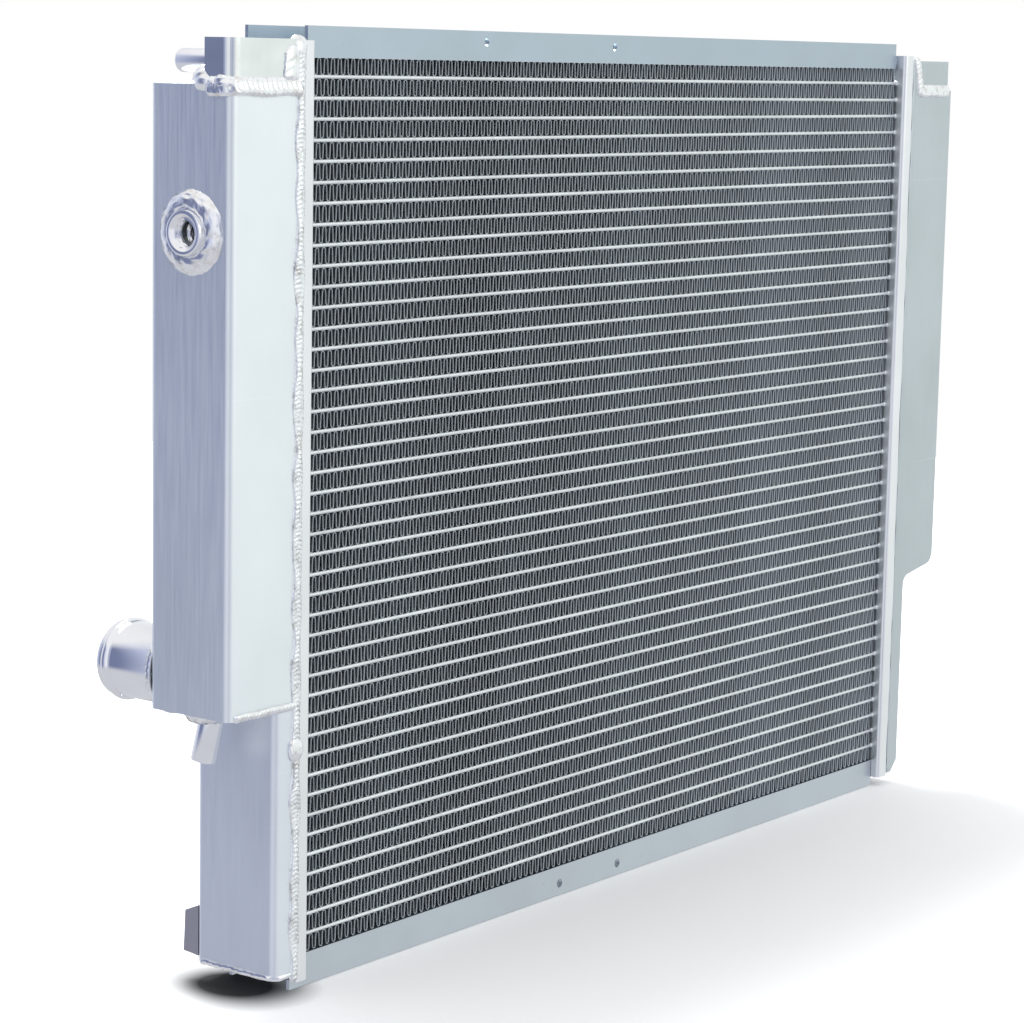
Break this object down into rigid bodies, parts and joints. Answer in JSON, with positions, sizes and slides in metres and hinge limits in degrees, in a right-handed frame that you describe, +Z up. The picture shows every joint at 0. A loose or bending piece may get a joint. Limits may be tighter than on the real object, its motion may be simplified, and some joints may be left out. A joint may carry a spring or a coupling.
{
  "type": "car radiator",
  "caption": "Cross-flow aluminium car radiator with a brazed tube and fin core, folded side channels and stepped welded end tanks.",
  "frame": {"origin": "below the middle of the radiator's box, at the level of the bottom channel's lower edges", "axes": "+X across the width, from the tank with the outlet neck towards the other tank; +Y towards the side with the hose necks; +Z up"},
  "size_m": [0.6762, 0.0904, 0.47],
  "materials": {
    "tubes": "brazed mill finish",
    "fins": "dull folded foil",
    "channels": "mill finish",
    "tanks": "satin brushed",
    "fittings": "polished"
  },
  "bodies": {
    "root": {"tube_header_core": "tubes", "fin_row_01": "fins", "fin_row_02": "fins", "fin_row_03": "fins", "fin_row_04": "fins", "fin_row_05": "fins", "fin_row_06": "fins", "fin_row_07": "fins", "fin_row_08": "fins", "fin_row_09": "fins", "fin_row_10": "fins", "fin_row_11": "fins", "fin_row_12": "fins", "fin_row_13": "fins", "fin_row_14": "fins", "fin_row_15": "fins", "fin_row_16": "fins", "fin_row_17": "fins", "fin_row_18": "fins", "fin_row_19": "fins", "fin_row_20": "fins", "fin_row_21": "fins", "fin_row_22": "fins", "fin_row_23": "fins", "fin_row_24": "fins", "fin_row_25": "fins", "fin_row_26": "fins", "fin_row_27": "fins", "fin_row_28": "fins", "fin_row_29": "fins", "fin_row_30": "fins", "fin_row_31": "fins", "fin_row_32": "fins", "fin_row_33": "fins", "fin_row_34": "fins", "fin_row_35": "fins", "fin_row_36": "fins", "fin_row_37": "fins", "fin_row_38": "fins", "fin_row_39": "fins", "fin_row_40": "fins", "fin_row_41": "fins", "fin_row_42": "fins", "fin_row_43": "fins", "fin_row_44": "fins", "top_side_channel": "channels", "bottom_side_channel": "channels", "left_tank_upper": "tanks", "left_tank_step_plate": "tanks", "left_tank_lower": "tanks", "right_tank": "tanks", "left_top_box": "fittings", "right_top_box": "tanks", "outlet_neck": "fittings", "inlet_neck": "fittings", "bleed_nipple": "fittings", "sensor_boss": "fittings", "lower_pin": "fittings", "rear_foot_tab": "tanks"}
  },
  "joints": []
}
